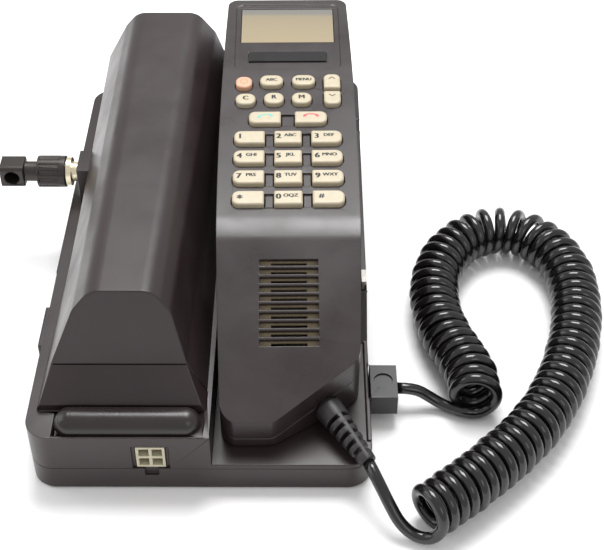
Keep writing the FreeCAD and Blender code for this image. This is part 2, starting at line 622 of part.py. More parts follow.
def key_blank(name, key, grow, low, high):
    """A key's outline, grown all round, between two heights, with the rounded corners it has."""
    _, x, y, width, depth, ends = key
    body = new_body(name)
    left, right = x - width / 2 - grow, x + width / 2 + grow
    sketch = outline(body, "XY_Plane",
                     rectangle(left, y - depth / 2 - grow, right, y + depth / 2 + grow), low)
    pad(body, sketch, "%s - (%s)" % (high, low))
    big = min(width, depth) / 2 * (0.9 if ends == ALL else 0.75) + grow

    def round_end(edge):
        if not runs_along(edge, "z"):
            return False
        across = RIGHT if edge.CenterOfMass.x > x else LEFT
        along = HIGH if edge.CenterOfMass.y > y else LOW
        return ends in (ALL, across, along)

    if ends:
        round_edges(body, round_end, big)
    square = [edge for edge in body.Tip.Shape.Edges if runs_along(edge, "z")
              and not round_end(edge)]
    if square:
        round_edges(body, lambda edge: runs_along(edge, "z") and not round_end(edge), 0.7 + grow)
    return body


def keypad():
    ways = []
    for key in KEYS:
        cap = key_blank(key[0], key, 0, "-dims.key_root", "dims.key_rise")
        round_edges(cap, lambda edge: edge.BoundBox.ZMin > num("dims.key_rise") - 0.01, 0.9)
        node(cap, key[0], HANDSET)
        ways.append(key_blank(key[0] + "_way", key, num("dims.key_gap"), "-8", "4"))
    return ways


def boot_cut(name):
    """The round hole that the strain relief's neck sits in."""
    thing = doc.addObject("Part::Cylinder", name)
    thing.Radius, thing.Height = 3.9, 9
    way = V(BOOT_WAY).normalize()
    thing.Placement = FreeCAD.Placement(BOOT_AT - way * 7, FreeCAD.Rotation(V(0, 0, 1), way))
    return thing


def handset_cases():
    key_ways = keypad()
    front = handset_half("front", TOP_LINE + PARTING_LINE)
    room_line = [("dims.handset_top - dims.wall", "-dims.wall"), (0.5, "-dims.wall"),
                 ("dims.handset_foot + dims.wall", "-dims.face_drop - 1.6"),
                 ("dims.handset_foot + dims.wall", -60), ("dims.handset_top - dims.wall", -60)]
    wide = new_body("front_room")
    pad(wide, outline(wide, "YZ_Plane", room_line), 48.6, middle=True)
    trim = box("front_room_trim", (-20.4, -66.5, -60), (15.8, 24, 62))
    full = box("front_room_full", (-25, -44, -60), (50, 199, 62))
    room = common("front_room_cut", wide, fuse("front_room_area", [trim, full]))
    window = box("window_way", ("-dims.window_width / 2", "dims.window_low", -4),
                 ("dims.window_width", "dims.window_high - dims.window_low", 6))
    badge = box("badge_way", ("-dims.badge_width / 2", "dims.badge_low", -0.8),
                ("dims.badge_width", "dims.badge_high - dims.badge_low", 3))
    bezel = new_body("bezel_sink")
    pad(bezel, outline(bezel, "XY_Plane",
                       rectangle("-dims.bezel_width / 2", "dims.bezel_low",
                                 "dims.bezel_width / 2", "dims.bezel_high"), -0.4), 3)
    round_edges(bezel, lambda edge: runs_along(edge, "z"), 3)
    troughs = [box("key_trough", (-reach, row - 3.7, "-dims.trough_depth"), (2 * reach, 7.4, 4))
               for reach, row in [(9.5, FIRST_ROW - i * ROW_PITCH) for i in range(4)]
               + [(4, CALL_ROW)]]
    slots = []
    for i in range(10):
        slot = box("face_slot", (0, 0, 0), ("dims.slot_width", "dims.slot_height", 5))
        at = V(-num("dims.slot_width") / 2,
               -num("dims.slot_first") - i * num("dims.slot_pitch") - 1.2, -3.2)
        turn = FreeCAD.Rotation(V(1, 0, 0), num("dims.face_angle"))
        for axis in "xyz":
            slot.setExpression("Placement.Base." + axis, None)
        slot.Placement = FreeCAD.Placement(turn.multVec(at), turn)
        slots.append(slot)
    node(cut("front_case", front, [room, window, badge, bezel, boot_cut("front_boot_way")]
             + troughs + slots + key_ways), "handset_front_case", HANDSET)

    rear = handset_half("rear", PARTING_LINE + UNDER_LINE)
    grip_room = box("grip_room", (-24, -12, -19.8), (48, 160 - 18.2, 30))
    ear_room = box("ear_room", (-24, 114, -31.6), (48, 30.8, 20))
    mouth_room = box("mouth_room", (-20.4, -66.3, -39.4), (15.8, 37.5, 40))
    mouth_side = box("mouth_side", (-22.4, -43, -41.4), (44.6, 15, 40))
    posts = [rod("rear_post", (x, 50, -20), 3.4, 9.2) for x in (-14, 14)]
    bores = [rod("rear_bore", (x, 50, -30), 1.6, 30) for x in (-14, 14)]
    sinks = [rod("rear_sink", (x, 50, -30), 2.8, 10.2) for x in (-14, 14)]
    shell = cut("rear_shell", rear, [grip_room, ear_room, mouth_room, mouth_side])
    node(cut("rear_case", fuse("rear_with_posts", [shell] + posts),
             bores + sinks + [boot_cut("rear_boot_way")]), "handset_rear_case", HANDSET)


def handset_insides():
    node(box("window", ("-dims.window_width / 2 + 0.2", "dims.window_low + 0.2", -1.9),
             ("dims.window_width - 0.4", "dims.window_high - dims.window_low - 0.4", 1.3)),
         "display_window", HANDSET)
    node(box("lcd", (-19, 113, -8.2), (38, 29, 5.6)), "display_module", HANDSET)
    node(box("badge", ("-dims.badge_width / 2 + 0.2", "dims.badge_low + 0.2", -0.8),
             ("dims.badge_width - 0.4", "dims.badge_high - dims.badge_low - 0.4", 0.9)),
         "badge_plate", HANDSET)
    node(box("handset_pcb", (-22, 8, -10.4), (44, 133, 1.6)), "handset_board", HANDSET)
    mat = box("mat_sheet", (-23, 10, -6.4), (46, 84, 1))
    domes = [rod("mat_dome", (key[1], key[2], -8), 2.2, 2) for key in KEYS]
    node(fuse("mat", [mat] + domes), "key_mat", HANDSET)
    node(rod("earpiece", (0, 129, -31.4), 12.5, 7), "earpiece_capsule", HANDSET)
    node(rod("microphone", (-13, -55, -39.2), 5, 5.5), "microphone_capsule", HANDSET)
    screws = []
    for x in (-14, 14):
        head = rod("hs_head", (x, 50, -21.6), 2.6, 1.6)
        shank = rod("hs_shank", (x, 50, -20.4), 1.5, 9.4)
        screws.append(fuse("hs_screw", [head, shank]))
    node(group("rear_screws", screws), "handset_screws", HANDSET)
    plate = box("grille_plate", (-13, "-dims.slot_first - 9 * dims.slot_pitch - 1.8", -3.6),
                (26, "9 * dims.slot_pitch + 4.8", 1.2))
    ways = [box("grille_way", (-6.6, "-dims.slot_first - %d * dims.slot_pitch - 0.6" % i, -5),
                (13.2, 1.2, 5)) for i in range(10)]
    node(cut("grille", plate, ways), "sounder_grille", FACE)


def strain_relief():
    """Tapered rubber boot, turned about X: neck inside the handset, collar, ribbed sleeve."""
    body = new_body("boot")
    profile = [(-6.5, 0), (-6.5, 3.8), (0.9, 3.8), (0.9, 5.3), (5, 5.1),
               ("dims.boot_length", 3), ("dims.boot_length", 0)]
    sketch = outline(body, "XY_Plane", profile)
    doc.recompute()
    turn = body.newObject("PartDesign::Revolution", "boot_turn")
    turn.Profile = sketch
    turn.ReferenceAxis = (sketch, ["H_Axis"])
    turn.Angle = 360
    doc.recompute()
    grooves = []
    for i in range(5):
        for side in (-1, 1):
            low = 0.9 if side > 0 else -7.9
            grooves.append(box("boot_groove", (7.5 + 3.7 * i, low, -8), (1.5, 7, 16)))
    way = V(BOOT_WAY).normalize()
    local = FreeCAD.Placement(BOOT_AT, FreeCAD.Rotation(V(1, 0, 0), way))
    node(cut("relief", body, grooves), "cord_strain_relief", HANDSET.multiply(local))
    return HANDSET.multVec(BOOT_AT + way * num("dims.boot_length"))


handset_cases()
handset_insides()
CORD_EXIT = strain_relief()


# ---------------------------------------------------------------- cord
def tube(name, points, radius):
    """Straight runs joined by arcs tangent to both, swept with a round section."""
    edges, start, radii = [], points[0], []
    for before, corner, after in zip(points, points[1:], points[2:]):
        first, second = corner - before, after - corner
        half_turn = first.getAngle(second) / 2
        reach = 0.45 * min(first.Length, second.Length)
        bend = reach / math.tan(half_turn)
        entry = corner - V(first).normalize() * reach
        leave = corner + V(second).normalize() * reach
        middle = V(second).normalize() - V(first).normalize()
        top = corner + middle.normalize() * (bend / math.cos(half_turn) - bend)
        edges.append(Part.LineSegment(start, entry).toShape())
        edges.append(Part.Arc(entry, top, leave).toShape())
        start = leave
        radii.append(round(bend, 1))
    edges.append(Part.LineSegment(start, points[-1]).toShape())
    path = Part.Wire(edges)
    ring = Part.Wire([Part.makeCircle(radius, points[0], points[1] - points[0])])
    solid = path.makePipeShell([ring], True, False)
    expected = math.pi * radius ** 2 * path.Length
    print(name, "radii", radii, "length", round(path.Length, 1),
          "volume ratio", round(solid.Volume / expected, 4))
    thing = doc.addObject("Part::Feature", name)
    thing.Shape = solid
    return node(thing, name)


COIL_ROUTE = [(79.0, -125.6), (91.0, -116.4), (105.4, -103.4), (118.0, -90.6), (128.6, -75.6),
              (137.2, -57.6), (143.4, -38.4), (146.8, -18.6), (146.0, 0.8), (139.0, 16.2),
              (126.0, 25.6), (110.6, 24.0), (97.8, 12.6), (90.4, -3.6), (88.8, -21.2),
              (91.4, -37.6), (97.0, -50.8), (101.2, -63.0), (100.8, -75.8)]
LEAD_ROUTE = [(61.9, -115.2, 15.9), (65.7, -121.6, 11.2), (69.8, -127.2, 6.0),
              (75.2, -130.6, 3.2), (86.5, -128.5, 4.6)]
TAIL_ROUTE = [(103.0, -72.4, 3.2), (96.4, -72.0, 2.4), (89.8, -69.2, 2.6), (83.9, -66.9, 5.4),
              (78.2, -66.2, 9.1), (71.5, -66.2, 9.1)]


def cord():
    wire, coil = num("dims.wire_radius"), num("dims.coil_radius")
    way = HANDSET.Rotation.multVec(V(BOOT_WAY).normalize())
    exit_point = CORD_EXIT + way * 0.15
    lead = [exit_point] + [V(*p) for p in LEAD_ROUTE]
    lead[1] = exit_point + way * 6.2
    tube("cord_lead", lead, wire)
    tube("cord_coil", [V(x, y, coil + 0.1) for x, y in COIL_ROUTE], coil)
    tube("cord_tail", [V(*p) for p in TAIL_ROUTE], wire)


cord()

# ---------------------------------------------------------------- check and write
doc.recompute()
for thing in doc.Objects:
    if "Invalid" in thing.State or "Error" in thing.State:
        raise ValueError("%s (%s) did not recompute" % (thing.Name, thing.Label))
os.makedirs("parts", exist_ok=True)
for thing in NODES:
    if thing.Shape.isNull() or not thing.Shape.isValid():
        raise ValueError(thing.Label + " has no valid shape")
    if not thing.Shape.Solids:
        raise ValueError(thing.Label + " has no solid")
    thing.Shape.exportStep("parts/%s.step" % thing.Label)
print(len(NODES), "nodes written")
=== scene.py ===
import math

import bmesh
import bpy
from mathutils import Matrix, Vector


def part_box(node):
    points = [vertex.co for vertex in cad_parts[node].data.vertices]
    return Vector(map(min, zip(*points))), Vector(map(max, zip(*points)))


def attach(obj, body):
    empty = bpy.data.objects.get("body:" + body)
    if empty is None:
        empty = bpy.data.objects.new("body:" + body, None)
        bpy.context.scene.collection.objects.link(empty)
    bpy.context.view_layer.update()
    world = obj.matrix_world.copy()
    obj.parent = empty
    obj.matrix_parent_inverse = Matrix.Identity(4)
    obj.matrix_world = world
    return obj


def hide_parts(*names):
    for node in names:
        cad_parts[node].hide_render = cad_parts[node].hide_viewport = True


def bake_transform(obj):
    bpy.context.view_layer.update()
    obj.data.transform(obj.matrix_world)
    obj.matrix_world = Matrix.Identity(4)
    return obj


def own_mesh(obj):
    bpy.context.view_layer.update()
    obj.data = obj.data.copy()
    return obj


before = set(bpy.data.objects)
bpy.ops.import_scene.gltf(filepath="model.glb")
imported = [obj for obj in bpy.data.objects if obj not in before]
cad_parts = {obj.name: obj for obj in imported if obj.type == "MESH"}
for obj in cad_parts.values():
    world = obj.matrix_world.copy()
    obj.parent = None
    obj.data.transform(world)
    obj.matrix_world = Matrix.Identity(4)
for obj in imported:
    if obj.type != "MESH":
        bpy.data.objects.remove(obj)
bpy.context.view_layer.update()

MM = 0.001

# ------------------------------------------------------------------ table, light and camera
# A seamless pale sheet under a large soft light, seen through a long lens. Nothing here
# belongs to the telephone.
SHEET_HALF = 3.0
SHEET_DROP = 0.2 * MM
WORLD_STRENGTH = 0.72
LAMPS = [("softbox_over", (0.08, 0.44, 1.08), (0.0, 0.0, 0.0), 0.60, 14.0),
         ("softbox_left", (-0.95, 0.05, 0.55), (-0.03, 0.0, 0.04), 0.80, 3.0),
         ("softbox_front", (0.55, -0.95, 0.85), (0.05, 0.0, 0.03), 0.50, 1.2)]
CAMERA_AT = (36.8, -400.0, 367.0)
SENSOR, LENS = 36.0, 76.9
LOOK_DOWN, TURN_LEFT = 42.0, 0.17   # degrees


def linear(hex_colour):
    """An sRGB hex colour as linear RGBA."""
    channels = [int(hex_colour[i:i + 2], 16) / 255 for i in (1, 3, 5)]
    return tuple(c / 12.92 if c <= 0.04045 else ((c + 0.055) / 1.055) ** 2.4
                 for c in channels) + (1.0,)


def add_node(tree, kind, settings=None, links=None, at=(0, 0)):
    """One shader node with its settings (attributes or inputs) and the links into it."""
    made = tree.nodes.new(kind)
    made.location = at
    for key, value in (settings or {}).items():
        if isinstance(key, str) and hasattr(made, key):
            setattr(made, key, value)
        else:
            made.inputs[key].default_value = value
    for key, source in (links or {}).items():
        tree.links.new(source, made.inputs[key])
    return made


def new_material(name, hex_colour, roughness, metallic=0.0, **shader_inputs):
    """A principled material; returns it with its tree and shader for more nodes."""
    material = bpy.data.materials.new(name)
    material.use_nodes = True
    tree = material.node_tree
    shader = tree.nodes["Principled BSDF"]
    shader.inputs["Base Color"].default_value = linear(hex_colour)
    shader.inputs["Roughness"].default_value = roughness
    shader.inputs["Metallic"].default_value = metallic
    for key, value in shader_inputs.items():
        shader.inputs[key.replace("_", " ")].default_value = value
    return material, tree, shader


def link_object(name, mesh):
    """A new object in the scene, with the given mesh, curve, lamp or camera."""
    made = bpy.data.objects.new(name, mesh)
    bpy.context.scene.collection.objects.link(made)
    return made


def studio():
    """Pale floor, overhead and side soft boxes, a bright world."""
    mesh = bpy.data.meshes.new("studio_floor")
    mesh.from_pydata([(x * SHEET_HALF, y * SHEET_HALF, 0)
                      for x, y in ((-1, -1), (1, -1), (1, 1), (-1, 1))], [], [(0, 1, 2, 3)])
    floor = link_object("studio_floor", mesh)
    floor.location.z = -SHEET_DROP
    paper, _, _ = new_material("studio_paper", "#fbfafa", 0.9)
    mesh.materials.append(paper)
    world = bpy.data.worlds.new("studio_world")
    world.use_nodes = True
    background = world.node_tree.nodes["Background"]
    background.inputs["Color"].default_value = linear("#ffffff")
    background.inputs["Strength"].default_value = WORLD_STRENGTH
    bpy.context.scene.world = world
    bpy.context.scene.view_settings.view_transform = "Standard"
    for name, at, aim, size, power in LAMPS:
        lamp = bpy.data.lights.new(name, "AREA")
        lamp.size = size
        lamp.energy = power
        made = link_object(name, lamp)
        made.location = at
        made.rotation_euler = (Vector(aim) - Vector(at)).to_track_quat("-Z", "Y").to_euler()


def camera():
    """A long lens looking down steeply from the front."""
    data = bpy.data.cameras.new("view")
    data.sensor_width = SENSOR
    data.lens = LENS
    data.clip_start = 10 * MM
    made = link_object("view", data)
    made.location = Vector(CAMERA_AT) * MM
    made.rotation_euler = (math.radians(90 - LOOK_DOWN), 0.0, math.radians(TURN_LEFT))
    bpy.context.scene.camera = made


studio()
camera()


# ------------------------------------------------------------------ base, two moulded cases
# Injection-moulded ABS with a fine spark-eroded texture, satin. The lower tray and the upper
# case meet at a V groove all round and are drawn together by four screws from below.
BASE_X, BASE_Y, BASE_CORNER = 61.0, 107.0, 9.0     # half the plan, and its corner radius


def satin_abs(name, hex_colour, roughness, grain=0.45, edge=0.4):
    """Moulded ABS: grain of about 0.45 mm, slight cloudy gloss where hands have polished it."""
    material, tree, shader = new_material(name, hex_colour, roughness)
    place = add_node(tree, "ShaderNodeTexCoord", at=(-1100, 0)).outputs["Object"]
    texture = add_node(tree, "ShaderNodeTexNoise", {"Scale": 1 / (grain * MM), "Detail": 2.0},
                       {"Vector": place}, (-800, -300))
    edges = add_node(tree, "ShaderNodeBevel", {"samples": 6, "Radius": edge * MM},
                     at=(-800, -500))
    bump = add_node(tree, "ShaderNodeBump", {"Strength": 0.16, "Distance": 0.00012},
                    {"Height": texture.outputs[0], "Normal": edges.outputs[0]}, (-500, -300))
    tree.links.new(bump.outputs[0], shader.inputs["Normal"])
    cloud = add_node(tree, "ShaderNodeTexNoise", {"Scale": 38.0, "Detail": 5.0,
                                                  "Roughness": 0.6},
                     {"Vector": place}, (-800, 0))
    polish = add_node(tree, "ShaderNodeMapRange",
                      {1: 0.35, 2: 0.7, 3: roughness - 0.07, 4: roughness + 0.06},
                      {0: cloud.outputs[0]}, (-500, 0))
    tree.links.new(polish.outputs[0], shader.inputs["Roughness"])
    tint = add_node(tree, "ShaderNodeValToRGB", links={0: cloud.outputs[0]}, at=(-500, 250))
    base = linear(hex_colour)
    tint.color_ramp.elements[0].position, tint.color_ramp.elements[1].position = 0.3, 0.75
    tint.color_ramp.elements[0].color = tuple(c * 0.90 for c in base[:3]) + (1.0,)
    tint.color_ramp.elements[1].color = tuple(c * 1.12 for c in base[:3]) + (1.0,)
    tree.links.new(tint.outputs[0], shader.inputs["Base Color"])
    return material


CASE_ABS = satin_abs("abs_satin_charcoal", "#2a2021", 0.38)


def edge_kind(edge):
    """The two face normals of an edge and the angle between them."""
    one, two = (face.normal for face in edge.link_faces)
    return one, two, one.angle(two, 0.0)


def moulding(name, node, body, material, width, rounded=(), frame_of=Matrix()):
    """A moulded part from its own solid, with the edge rounding that a mould leaves.

    rounded lists (test, offset, segments); each test gets an edge's middle in millimetres in
    the part's own frame and its two face normals. The rest gets a narrow rounding of `width`."""
    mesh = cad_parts[node].data.copy()
    mesh.name = name
    made = bmesh.new()
    made.from_mesh(mesh)
    bmesh.ops.remove_doubles(made, verts=made.verts, dist=0.000002)
    bmesh.ops.dissolve_limit(made, angle_limit=math.radians(0.02), verts=made.verts,
                             edges=made.edges, use_dissolve_boundaries=False)
    back = frame_of.inverted()
    turn = back.to_3x3()
    for test, offset, segments in rounded:
        made.normal_update()
        chosen = []
        for edge in made.edges:
            if len(edge.link_faces) != 2:
                continue
            one, two, angle = edge_kind(edge)
            middle = (back @ ((edge.verts[0].co + edge.verts[1].co) / 2)) / MM
            if test(middle, turn @ one, turn @ two, math.degrees(angle)):
                chosen.append(edge)
        bmesh.ops.bevel(made, geom=chosen, offset=offset * MM, offset_type="OFFSET",
                        segments=segments, profile=0.5, affect="EDGES", clamp_overlap=True)
    made.to_mesh(mesh)
    made.free()
    part = link_object(name, mesh)
    bevel = part.modifiers.new("mould_edges", "BEVEL")
    bevel.width, bevel.segments = width * MM, 2
    bevel.limit_method, bevel.angle_limit = "ANGLE", math.radians(32)
    bevel.use_clamp_overlap = False
    bpy.context.view_layer.update()
    finished = bpy.data.meshes.new_from_object(
        part.evaluated_get(bpy.context.evaluated_depsgraph_get()))
    part.modifiers.clear()
    part.data = finished
    finished.name = name
    finished.shade_smooth()
    finished.set_sharp_from_angle(angle=math.radians(40))
    weighted = part.modifiers.new("even_shading", "WEIGHTED_NORMAL")
    weighted.keep_sharp = True
    finished.materials.clear()
    finished.materials.append(material)
    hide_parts(node)
    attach(part, body)
    return part


def outer_top(middle, one, two, angle):
    """The upper case's edges round the outside of the deck and of the head rest."""
    high = max(one.z, two.z) > 0.9
    side = min(abs(one.z), abs(two.z)) < 0.2
    x, y = abs(middle.x), abs(middle.y)
    outside = x > BASE_X - 10 or y > BASE_Y - 10
    from_corner = math.hypot(x - (BASE_X - BASE_CORNER), y - (BASE_Y - BASE_CORNER))
    on_wall = x > BASE_X - 0.1 or y > BASE_Y - 0.1 or from_corner > BASE_CORNER - 0.2
    return angle > 50 and high and side and outside and on_wall and middle.z > 20


moulding("lower_case_moulding", "base_lower_case", "base", CASE_ABS, 0.35)
moulding("upper_case_moulding", "base_upper_case", "base", CASE_ABS, 0.35,
         [(outer_top, 0.9, 3)])


def dress(node, material):
    """Give a node that keeps its own shape a finished material."""
    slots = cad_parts[node].data.materials
    if not slots:
        slots.append(material)
    for i in range(len(slots)):
        slots[i] = material


def grained(name, hex_colour, roughness, metallic=0.0, scale_mm=1.0, depth=0.1, spread=0.12,
            **shader_inputs):
    """A plain finish with its own grain: size in mm, bump depth and light-dark spread."""
    material, tree, shader = new_material(name, hex_colour, roughness, metallic,
                                          **shader_inputs)
    place = add_node(tree, "ShaderNodeTexCoord", at=(-1000, 0))
    noise = add_node(tree, "ShaderNodeTexNoise", {"Scale": 1 / (scale_mm * MM), "Detail": 3.0},
                     {"Vector": place.outputs["Object"]}, (-800, 0))
    bump = add_node(tree, "ShaderNodeBump", {"Strength": depth, "Distance": 0.0002},
                    {"Height": noise.outputs[0]}, (-500, -300))
    tree.links.new(bump.outputs[0], shader.inputs["Normal"])
    ramp = add_node(tree, "ShaderNodeValToRGB", links={0: noise.outputs[0]}, at=(-500, 200))
    base = linear(hex_colour)
    ramp.color_ramp.elements[0].position, ramp.color_ramp.elements[1].position = 0.3, 0.7
    ramp.color_ramp.elements[0].color = tuple(c * (1 - spread) for c in base[:3]) + (1.0,)
    ramp.color_ramp.elements[1].color = tuple(min(c * (1 + spread), 1) for c in base[:3]) + (1.0,)
    tree.links.new(ramp.outputs[0], shader.inputs["Base Color"])
    return material


BLACK_ZINC = grained("steel_black_zinc", "#3a3836", 0.38, 1.0, 0.3, 0.15)
dress("base_case_screws", BLACK_ZINC)

# ------------------------------------------------------------------ inside the base
# The transceiver board, its tinned cans, the duplexer and the finned heat sink. All are hidden
# by the cases; each keeps its solid and gets the finish of the real material.
CIRCUIT = grained("glass_epoxy_solder_mask", "#2f5a3a", 0.45, 0.0, 0.8, 0.2)
TINNED = grained("steel_tin_plated", "#c9c8c2", 0.34, 1.0, 2.0, 0.08)
CAST_ALUMINIUM = grained("aluminium_die_cast", "#a9aaab", 0.5, 1.0, 0.7, 0.3)
for node in ("transceiver_board", "handset_board"):
    dress(node, CIRCUIT)
for node in ("rf_shield_cans", "battery_terminals", "battery_contacts"):
    dress(node, TINNED)
for node in ("duplexer_filter", "heat_sink"):
    dress(node, CAST_ALUMINIUM)

# ------------------------------------------------------------------ power socket
# A natural nylon header of two by two cells, snapped in behind the front wall, with four
# tin-plated square pins. Nylon is creamy and a little translucent.
NYLON = grained("nylon_natural", "#b9b39c", 0.42, 0.0, 1.2, 0.05, 0.05,
                Subsurface_Weight=0.15, Subsurface_Scale=0.001)
PIN_TIN = grained("brass_tin_plated", "#c2ab7c", 0.3, 1.0, 0.6, 0.05)
dress("power_socket", NYLON)
dress("power_socket_pins", PIN_TIN)

# ------------------------------------------------------------------ side fittings
# On the left a guide rail and a strap lug belonging to the upper case, on the right the bright
# spring clip at the cradle's edge and the socket block that the cord's plug goes into.
SPRING_STEEL = grained("spring_steel_nickel_plated", "#d5d3cc", 0.22, 1.0, 1.5, 0.04)
moulding("side_rail_moulding", "side_rail", "base", CASE_ABS, 0.25)
dress("cradle_clip", SPRING_STEEL)
dress("handset_socket", NYLON)

# ------------------------------------------------------------------ antenna adaptor
# A plated barrel in the pillar, a black knurled coupling nut that turns on it and a swivelling
# elbow block with the antenna's threaded hole. Turned and milled brass under the finish.
NICKEL = grained("brass_nickel_plated_warm", "#e6dcc0", 0.28, 1.0, 0.8, 0.04, 0.05)
BLACK_CHROME = grained("brass_black_chrome", "#3c3836", 0.36, 0.6, 0.5, 0.12)
dress("antenna_socket", NICKEL)
moulding("coupling_nut", "antenna_coupling_nut", "antenna_nut", BLACK_CHROME, 0.3)
moulding("elbow_block", "antenna_elbow", "antenna_arm", BLACK_CHROME, 0.5)

# ------------------------------------------------------------------ battery pack
# One ABS cover over eight sleeved cells on a tray. The same satin texture as the base, its
# lengthwise ridges softly rounded in the tool and its front corner edges left crisp.
CELL_SLEEVE = grained("pvc_shrink_sleeve", "#2f5f9c", 0.3, 0.0, 3.0, 0.04)
dress("battery_cells", CELL_SLEEVE)
dress("battery_tray", CASE_ABS)
PACK_ABS = satin_abs("abs_satin_pack_cover", "#2b2223", 0.37, edge=1.1)
dress("battery_cover", PACK_ABS)

# ------------------------------------------------------------------ release bar
# A smooth glossy capsule across the front that is pressed down on two springs to free the pack.
# The springs stay in their trough.
# The bar's colour is a little darker than the case's. That difference is painted shade from under
# the pack's front hump.
GLOSS_ABS = satin_abs("abs_polished_charcoal_painted_shade", "#241d1d", 0.32, 0.9)
moulding("release_bar_moulding", "battery_release_bar", "release_bar", GLOSS_ABS, 0.3)


def bar_springs():
    """The two springs stand in the trough, as a piece of their own on the base."""
    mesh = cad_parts["release_springs"].data.copy()
    mesh.materials.clear()
    mesh.materials.append(SPRING_STEEL)
    mesh.shade_smooth()
    springs = link_object("bar_springs", mesh)
    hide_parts("release_springs")
    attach(springs, "base")
    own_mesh(springs)


bar_springs()

# ------------------------------------------------------------------ handset cases
# Front and rear ABS shells that meet in a groove round the sides, held by two screws. The bend
# and all outer edges are well rounded to the hand. The two capsules sit inside, under the faces.
BEND_AT = (30.7, -32.0, 60.0)                       # middle of the bend, on the key face
YAW, TILT = math.radians(0.8), math.radians(4)
HANDSET = (Matrix.Translation(Vector(BEND_AT) * MM)
           @ Matrix.Rotation(YAW, 4, "Z") @ Matrix.Rotation(TILT, 4, "X"))
SIDE_X, HEAD_END, CHIN_START = 23.2, 144.5, -45.0   # the outline lies beyond these
TOP_FALL = 28.4 / 69.5                              # of the top line, for each mm past the bend
HANDSET_ABS = satin_abs("abs_satin_handset", "#292021", 0.34)


def on_outline(middle):
    """Whether a place lies at the handset's outer walls, seen from above."""
    return abs(middle.x) > SIDE_X or middle.y > HEAD_END or middle.y < CHIN_START


def front_rim(middle, one, two, angle):
    """The edge between the handset's upper faces and its sides, which falls past the bend."""
    high, low = max(one.z, two.z), min(abs(one.z), abs(two.z))
    level = min(middle.y, 0) * TOP_FALL
    return angle > 40 and high > 0.8 and low < 0.3 and on_outline(middle) \
        and abs(middle.z - level) < 2.5


def rear_rim(middle, one, two, angle):
    """The edge between the handset's sides and its back."""
    return angle > 40 and min(one.z, two.z) < -0.6 and min(abs(one.z), abs(two.z)) < 0.3 \
        and on_outline(middle) and middle.z < -20


moulding("handset_front_moulding", "handset_front_case", "handset", HANDSET_ABS, 0.25,
         [(front_rim, 2.2, 5)], HANDSET)
moulding("handset_rear_moulding", "handset_rear_case", "handset", HANDSET_ABS, 0.35,
         [(rear_rim, 1.8, 4)], HANDSET)
dress("handset_screws", BLACK_ZINC)
dress("display_module", CIRCUIT)
MYLAR = grained("polyester_film_grey", "#7a7a76", 0.4, 0.0, 1.0, 0.05)
dress("earpiece_capsule", MYLAR)
dress("microphone_capsule", MYLAR)

# ------------------------------------------------------------------ display and badge plate
# A clear acrylic lens over a reflective liquid-crystal panel, khaki, with painted shade from the
# panel's frame as a greyer strip, and below it a blank gloss plate with a block of fine ribs.
def lens_and_panel():
    """The lens with the panel behind it as one finish that changes along the window."""
    material, tree, shader = new_material("acrylic_lens_over_lcd", "#a8987a", 0.5,
                                          Coat_Weight=1.0, Coat_Roughness=0.05)
    place = add_node(tree, "ShaderNodeTexCoord", at=(-1300, 0))
    split = add_node(tree, "ShaderNodeSeparateXYZ", links={0: place.outputs["Object"]},
                     at=(-1100, 0))
    low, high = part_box("display_window")
    along = add_node(tree, "ShaderNodeMapRange", {1: low.y, 2: high.y},
                     {0: split.outputs["Y"]}, (-900, 0))
    ramp = add_node(tree, "ShaderNodeValToRGB", links={0: along.outputs[0]}, at=(-600, 0))
    # The colour darkens along the window, and the greyer strip at its far end is painted shade from
    # the panel's frame.
    stops = ramp.color_ramp.elements
    stops[0].color, stops[1].color = linear("#8f805f"), linear("#62605a")
    stops[1].position = 0.97
    for position, colour in ((0.45, "#897b5c"), (0.78, "#807459"), (0.86, "#68645c")):
        stops.new(position).color = linear(colour)
    tree.links.new(ramp.outputs[0], shader.inputs["Base Color"])
    return material


dress("display_window", lens_and_panel())
BADGE_GLOSS = grained("polycarbonate_black_gloss", "#1c1a1b", 0.18, 0.0, 2.0, 0.02)
dress("badge_plate", BADGE_GLOSS)


def badge_ribs(count, pitch, depth, height, left):
    """A row of fine upright ribs moulded on the badge plate's left end."""
    tree = bpy.data.node_groups.new("badge_rib_row", "GeometryNodeTree")
    for socket, kind in (("Count", "NodeSocketInt"), ("Pitch", "NodeSocketFloat"),
                         ("Depth", "NodeSocketFloat"), ("Height", "NodeSocketFloat")):
        tree.interface.new_socket(socket, in_out="INPUT", socket_type=kind)
    tree.interface.new_socket("Geometry", in_out="OUTPUT", socket_type="NodeSocketGeometry")
    into = tree.nodes.new("NodeGroupInput").outputs
    step = add_node(tree, "ShaderNodeCombineXYZ", links={"X": into["Pitch"]})
    row = add_node(tree, "GeometryNodeMeshLine",
                   links={"Count": into["Count"], "Offset": step.outputs[0]})
    size = add_node(tree, "ShaderNodeCombineXYZ", {"Z": 0.0002},
                    {"X": into["Depth"], "Y": into["Height"]})
    rib = add_node(tree, "GeometryNodeMeshCube", links={"Size": size.outputs[0]})
    placed = add_node(tree, "GeometryNodeInstanceOnPoints",
                      links={"Points": row.outputs[0], "Instance": rib.outputs[0]})
    real = add_node(tree, "GeometryNodeRealizeInstances", links={0: placed.outputs[0]})
    finish = add_node(tree, "GeometryNodeSetMaterial", links={"Geometry": real.outputs[0]})
    finish.inputs["Material"].default_value = BADGE_GLOSS
    tree.links.new(finish.outputs[0], tree.nodes.new("NodeGroupOutput").inputs[0])
    host = link_object("badge_ribs", bpy.data.meshes.new("badge_ribs"))
    made = host.modifiers.new("rib_row", "NODES")
    made.node_group = tree
    wanted = {"Count": count, "Pitch": pitch, "Depth": depth, "Height": height}
    for item in tree.interface.items_tree:
        if item.in_out == "INPUT":
            made[item.identifier] = wanted[item.name]
    bpy.context.view_layer.update()
    mesh = bpy.data.meshes.new_from_object(
        host.evaluated_get(bpy.context.evaluated_depsgraph_get()))
    host.modifiers.clear()
    mesh.transform(HANDSET @ Matrix.Translation(left))
    host.data = mesh
    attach(host, "handset")


